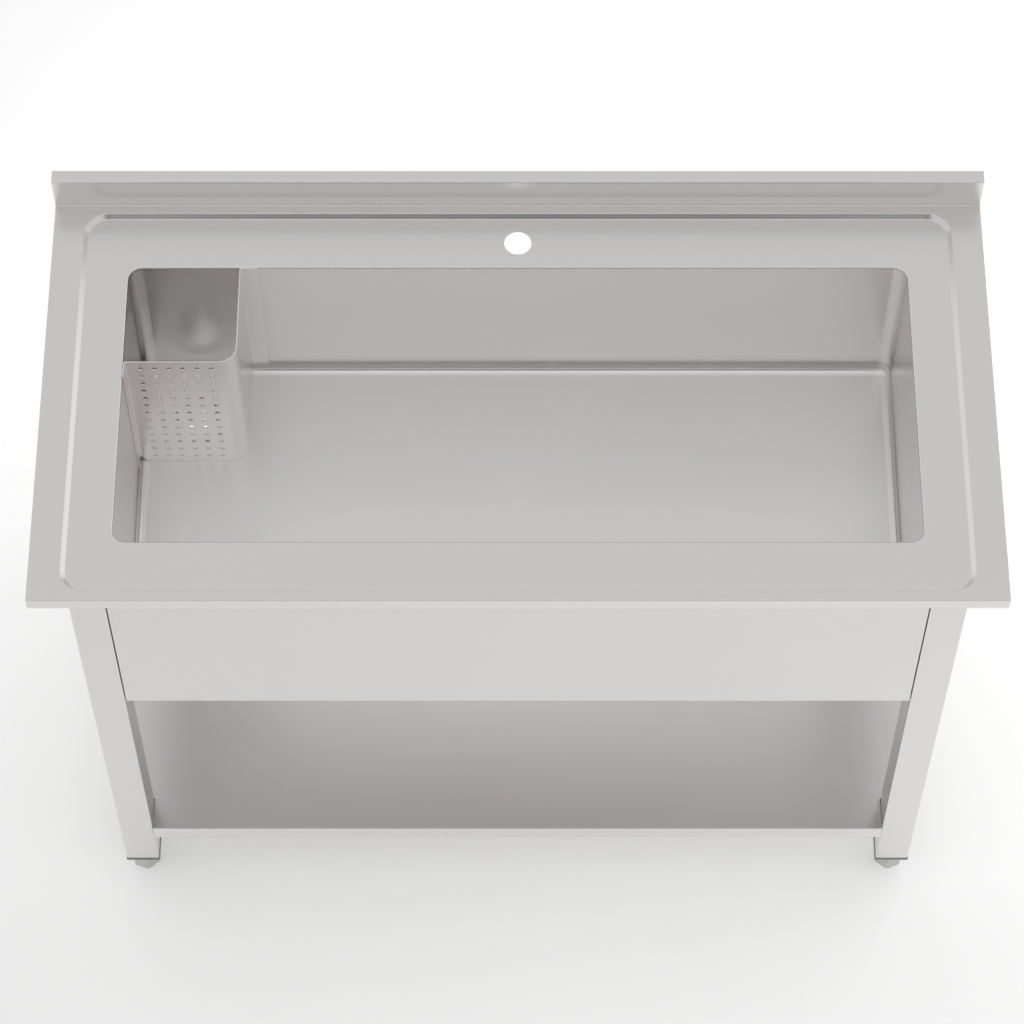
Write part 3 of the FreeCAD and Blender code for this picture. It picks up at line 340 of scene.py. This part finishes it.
def hexagon_ring(centre, z, apothem, turn):
    """Points of a hexagon with rounded corners, at one height."""
    points = []
    reach = (apothem - FOOT_CORNER) / math.cos(math.radians(30))
    for side in range(6):
        middle = turn + math.radians(60 * side)
        for part in range(FOOT_CORNER_PARTS + 1):
            angle = middle + math.radians(60 * (part / FOOT_CORNER_PARTS - 0.5))
            points.append((centre[0] + reach * math.cos(middle) + FOOT_CORNER * math.cos(angle),
                           centre[1] + reach * math.sin(middle) + FOOT_CORNER * math.sin(angle),
                           z))
    return points


def thread_rings(centre, low, high):
    """Rings of a screw thread from one height to another, run out smoothly at both ends."""
    rings = []
    count = round((high - low) / THREAD_PITCH * RINGS_PER_TURN)
    for z in steps(low, high, count):
        fade = min(1.0, (z - low) / THREAD_PITCH, (high - z) / THREAD_PITCH)
        ring = []
        for i in range(THREAD_AROUND):
            angle = 2 * math.pi * i / THREAD_AROUND
            wave = abs((((z - low) / THREAD_PITCH - i / THREAD_AROUND) % 1.0) * 2 - 1)
            # Slopes with a narrow flat at the crest and at the root
            groove = min(1.0, max(0.0, wave * 1.5 - 0.25))
            radius = STUD_RADIUS - THREAD_DEPTH * groove * fade - (1 - fade) * THREAD_DEPTH * 0.5
            ring.append((centre[0] + radius * math.cos(angle),
                         centre[1] + radius * math.sin(angle), z))
        rings.append(ring)
    return rings


def make_foot(corner, side):
    """Hexagonal foot with rolled edges on a threaded stud."""
    low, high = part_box(corner + "_foot")
    centre = ((low[0] + high[0]) / 2, (low[1] + high[1]) / 2)
    turn = math.radians((30 - side * FOOT_TURN) % 60)
    work = bmesh.new()
    closed_tube(work, [hexagon_ring(centre, z, FOOT_APOTHEM - inset, turn)
                       for z, inset in FOOT_PROFILE])
    closed_tube(work, thread_rings(centre, STUD_FOOT, high[2]))
    for face in work.faces:
        face.smooth = len(face.verts) == 4
    mesh = bpy.data.meshes.new(corner + "_hex_foot")
    work.to_mesh(mesh)
    work.free()
    even_faces(add_piece(corner + "_hex_foot", mesh, corner + "_foot_body", "foot_steel",
                         corner + "_foot"))


# Corner guard: a punched sheet, folded round the waste
SHEET = 0.0015                   # its thickness
CORNER = 0.024                   # outer radius of the bend between its two screens
FLANGE = 0.024                   # from a flange's free edge to the back of its screen
BEND = 0.003                     # outer radius of the bends at the flanges
CORNER_PARTS, BEND_PARTS = 12, 4
HOLE = 0.006
PITCH = 0.018
COLUMNS, ROWS = 6, 13            # holes in each screen
HOLE_SIDE = 0.0204               # from the bowl's wall to the middle of the first column
HOLE_TOP = 0.0158                # from the top edge to the middle of the first row
PER_SIDE = 5                     # steps of the mesh along a side of each hole's square field
FOOT_CUT = 0.013                 # height on the wall where a flange's slanted foot starts
GUARD_GAP = 0.0001               # to the walls and the floor
WELD = 2e-6
ON_PLANE = 1e-7
ROLLED = 0.0003                  # radius of the sheet's edges
SHARP = math.radians(50)
QUARTER = math.pi / 2
FRONT_SCREEN, SIDE_SCREEN = 2, 4      # the punched runs' places in the fold


def guard_fold(low, high):
    """Straight runs and bends of the guard in plan, on the side that shows.

    A run is its start, direction, face normal and length; a bend is its centre, radius,
    first angle and turn, and whether the face that shows is on its outside.
    """
    front = low[1] + FLANGE - SHEET
    side = high[0] - FLANGE + SHEET
    left = low[0] + BEND
    rear = high[1] - BEND
    last = side - SHEET + BEND
    return [
        ("run", (low[0] + SHEET, low[1]), (0, 1), (1, 0), front - BEND + SHEET - low[1]),
        ("bend", (left, front - BEND + SHEET), BEND - SHEET, math.pi, -QUARTER, False),
        ("run", (left, front), (1, 0), (0, -1), side - CORNER - left),
        ("bend", (side - CORNER, front + CORNER), CORNER, -QUARTER, QUARTER, True),
        ("run", (side, front + CORNER), (0, 1), (1, 0), rear - front - CORNER),
        ("bend", (last, rear), BEND - SHEET, math.pi, -QUARTER, False),
        ("run", (last, high[1] - SHEET), (1, 0), (0, -1), high[0] - last)]


def fold_length(part):
    return part[4] if part[0] == "run" else part[2] * QUARTER


def folded(part, along, depth):
    """Point in plan at a distance along a run or bend, and a depth under its face."""
    if part[0] == "run":
        start, way, normal = part[1:4]
        return tuple(start[i] + way[i] * along - normal[i] * depth for i in range(2))
    centre, radius, first, turn, outside = part[1:6]
    angle = first + turn * along / fold_length(part)
    reach = radius - depth if outside else radius + depth
    return centre[0] + reach * math.cos(angle), centre[1] + reach * math.sin(angle)


def hole_rings(part, middle, level, depth):
    """Edge of one hole's square field, and of the hole, at a depth under the face."""
    field, hole = [], []
    for side in range(4):
        for step in range(PER_SIDE):
            slide = PITCH * (step / PER_SIDE - 0.5)
            edge = ((slide, -PITCH / 2), (PITCH / 2, slide),
                    (-slide, PITCH / 2), (-PITCH / 2, -slide))[side]
            angle = QUARTER * (side + step / PER_SIDE - 1.5)
            for points, (u, v) in ((field, edge), (hole, (HOLE / 2 * math.cos(angle),
                                                          HOLE / 2 * math.sin(angle)))):
                points.append((*folded(part, middle + u, depth), level + v))
    return field, hole


def punch(work, part, middle, level):
    """Sheet round one hole: both faces and the hole's wall."""
    front_field, front_hole = hole_rings(part, middle, level, 0.0)
    back_field, back_hole = hole_rings(part, middle, level, SHEET)
    ring_tube(work, [front_field, front_hole, back_hole, back_field])


def add_sheet(work, part, stations, rows, field):
    """Both faces and the top and bottom edge of a run or bend, left out where it is punched."""
    for start, end in zip(stations, stations[1:]):
        in_field = field[0] < (start + end) / 2 < field[1]
        for upper, lower in zip(rows, rows[1:]):
            if in_field and upper < rows[0] and lower > rows[-1]:
                continue
            for depth in (0.0, SHEET):
                near, far = folded(part, start, depth), folded(part, end, depth)
                add_face(work, ((*near, lower), (*far, lower), (*far, upper), (*near, upper)))
        for level in (rows[-1], rows[0]):
            add_face(work, [(*folded(part, place, depth), level)
                            for place, depth in ((start, 0.0), (end, 0.0),
                                                 (end, SHEET), (start, SHEET))])


def add_free_edge(work, part, place, rows):
    """Upright edge of the sheet, at one end of the fold."""
    for upper, lower in zip(rows, rows[1:]):
        add_face(work, [(*folded(part, place, depth), level)
                        for depth, level in ((0.0, lower), (SHEET, lower),
                                             (SHEET, upper), (0.0, upper))])


def cut_foot(work, place, normal):
    """Cut a flange's foot off along a plane, and close the cut."""
    everything = list(work.verts) + list(work.edges) + list(work.faces)
    cut = bmesh.ops.bisect_plane(work, geom=everything, dist=ON_PLANE, plane_co=place,
                                 plane_no=normal, clear_outer=True)
    rim = [edge for edge in cut["geom_cut"] if isinstance(edge, bmesh.types.BMEdge)]
    bmesh.ops.holes_fill(work, edges=rim, sides=0)


def make_guard_screen():
    """Folded sheet with rows of punched holes, both faces, walls and rolled edges."""
    low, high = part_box("corner_guard")
    work = bmesh.new()
    top = high[2] - HOLE_TOP
    rows = [high[2]] + steps(top + PITCH / 2, top - PITCH * (ROWS - 0.5), ROWS * PER_SIDE)
    rows.append(low[2])
    fold = guard_fold(low, high)
    front_start, side_start = fold[FRONT_SCREEN][1], fold[SIDE_SCREEN][1]
    first_holes = {
        FRONT_SCREEN: low[0] - GUARD_GAP + HOLE_SIDE - front_start[0],
        SIDE_SCREEN: high[1] + GUARD_GAP - HOLE_SIDE - PITCH * (COLUMNS - 1) - side_start[1]}
    for index, part in enumerate(fold):
        length = fold_length(part)
        field = (0.0, 0.0)
        if index in first_holes:
            first = first_holes[index]
            field = (first - PITCH / 2, first + PITCH * (COLUMNS - 0.5))
            stations = [0.0] + steps(*field, COLUMNS * PER_SIDE) + [length]
            for column in range(COLUMNS):
                for row in range(ROWS):
                    punch(work, part, first + PITCH * column, top - PITCH * row)
        elif part[0] == "run":
            stations = [0.0, length]
        else:
            stations = steps(0.0, length, CORNER_PARTS if part[2] == CORNER else BEND_PARTS)
        add_sheet(work, part, stations, rows, field)
    add_free_edge(work, fold[0], 0.0, rows)
    add_free_edge(work, fold[-1], fold_length(fold[-1]), rows)
    bmesh.ops.remove_doubles(work, verts=work.verts, dist=WELD)
    foot = FOOT_CUT + low[2] - GUARD_GAP
    cut_foot(work, (low[0] - GUARD_GAP, 0, foot), (-1, 0, -1))
    cut_foot(work, (0, high[1] + GUARD_GAP, foot), (0, 1, -1))
    bmesh.ops.recalc_face_normals(work, faces=work.faces)
    roll_edges(work, ROLLED, SHARP)
    mesh = bpy.data.meshes.new("guard_screen")
    work.to_mesh(mesh)
    work.free()
    even_faces(add_piece("guard_screen", mesh, "guard", "perforated_steel", "corner_guard"))


make_guard_screen()
for corner, side in FOOT_SIDES.items():
    make_foot(corner, side)

# Floor and light
FLOOR_HALF = 40.0
FLOOR_DROP = 0.0004              # keeps the floor clear of the feet's undersides
SKY_LEVEL = 0.685
# Patches of the sky: direction, angles in degrees where it starts to fade and ends, strength
SKY_PATCHES = (
    ((0.0, -0.766, 0.643), 9, 15, -0.64),      # dark, seen in the rear slope of the recess
    ((0.81, 0.515, 0.27), 8, 30, 0.3),         # seen in the left slope of the recess
    ((-0.81, 0.515, 0.27), 8, 30, 0.18),       # seen in the right slope of the recess
    ((0.0, 0.94, 0.34), 8, 26, 0.15),          # low at the back
    ((0.0, 0.0, 1.0), 10, 34, 0.06),           # overhead
    ((0.0, -0.92, 0.39), 5, 14, 0.3),          # seen in the upstand by way of the recess
    ((0.0, -0.5, 0.866), 6, 15, 0.26))         # seen in upright faces by way of level ones


def make_floor():
    mesh = bpy.data.meshes.new("floor")
    half = FLOOR_HALF
    mesh.from_pydata([(-half, -half, 0), (half, -half, 0), (half, half, 0), (-half, half, 0)],
                     [], [(0, 1, 2, 3)])
    floor = bpy.data.objects.new("floor", mesh)
    scene.collection.objects.link(floor)
    material = new_material("pale_floor")
    tree = material.node_tree
    place = add(tree, "ShaderNodeTexCoord")
    cloud = noise(tree, place.outputs["Object"], scale=0.8, detail=2.0, rough=0.5)
    shader = add(tree, "ShaderNodeBsdfPrincipled", Roughness=0.9, Specular_IOR_Level=0.1)
    tree.links.new(shade(tree, cloud, (0.885, 0.885, 0.885), (0.90, 0.90, 0.90)),
                   shader.inputs["Base Color"])
    finish_surface(tree, shader)
    mesh.materials.append(material)
    floor.location.z = -FLOOR_DROP


def lobe(tree, place, direction, inner, outer, strength):
    """Soft round patch of light in the sky, between two angles from its middle."""
    aim = add(tree, "ShaderNodeVectorMath", operation="DOT_PRODUCT")
    aim.inputs[1].default_value = Vector(direction).normalized()
    link(tree, place, "Generated", aim, 0)
    made = add(tree, "ShaderNodeMapRange", interpolation_type="SMOOTHERSTEP",
               From_Min=math.cos(math.radians(outer)), From_Max=math.cos(math.radians(inner)),
               To_Min=0.0, To_Max=strength)
    link(tree, aim, "Value", made, "Value")
    return made.outputs["Result"]


def make_sky():
    """Even pale studio with soft patches, one of them dark, aimed at what the steel mirrors."""
    world = bpy.data.worlds.new("studio")
    world.use_nodes = True
    tree = world.node_tree
    tree.nodes.clear()
    place = add(tree, "ShaderNodeTexCoord")
    total, *patches = [lobe(tree, place, *patch) for patch in SKY_PATCHES]
    for patch in patches:
        joined = add(tree, "ShaderNodeMath", operation="ADD")
        tree.links.new(total, joined.inputs[0])
        tree.links.new(patch, joined.inputs[1])
        total = joined.outputs[0]
    level = add(tree, "ShaderNodeMath", operation="ADD")
    level.inputs[1].default_value = SKY_LEVEL
    tree.links.new(total, level.inputs[0])
    light = add(tree, "ShaderNodeBackground", Color=(1.0, 1.0, 0.995, 1))
    link(tree, level, 0, light, "Strength")
    output = add(tree, "ShaderNodeOutputWorld")
    link(tree, light, "Background", output, "Surface")
    scene.world = world


def make_softbox(name, place, size, power, beam, blockers=()):
    """Wide softbox, facing straight down, with its beam in degrees; only blockers shade it."""
    light = bpy.data.lights.new(name, "AREA")
    light.shape = "RECTANGLE"
    light.size, light.size_y = size
    light.energy = power
    light.spread = math.radians(beam)
    lamp = bpy.data.objects.new(name, light)
    scene.collection.objects.link(lamp)
    lamp.location = place
    lamp.visible_glossy = False
    light.use_shadow = bool(blockers)
    if blockers:
        shades = bpy.data.collections.new(name + "_shades")
        for piece in blockers:
            shades.objects.link(nodes[piece])
        lamp.light_linking.blocker_collection = shades


make_floor()
make_sky()
make_softbox("softbox", place=(0.3, 0.2, 3.2), size=(3.0, 3.0), power=14.0, beam=180.0,
             blockers=("shelf",))
make_softbox("fill", place=(0.5, 0.6, 3.0), size=(3.0, 1.3), power=13.5, beam=76.0)

# Camera where the photograph was taken from, as fitted to lines and corners of the sink
CAMERA_PLACE = (-0.0075, -2.3099, 4.6071)
CAMERA_TILT = math.radians(29.43)      # from straight down
lens = bpy.data.cameras.new("camera")
lens.lens = 123.68
lens.sensor_width = 36.0
lens.clip_end = 100.0
camera = bpy.data.objects.new("camera", lens)
camera.location = CAMERA_PLACE
camera.rotation_euler = (CAMERA_TILT, 0.0, 0.0)
scene.collection.objects.link(camera)
scene.camera = camera
scene.view_settings.view_transform = "Standard"
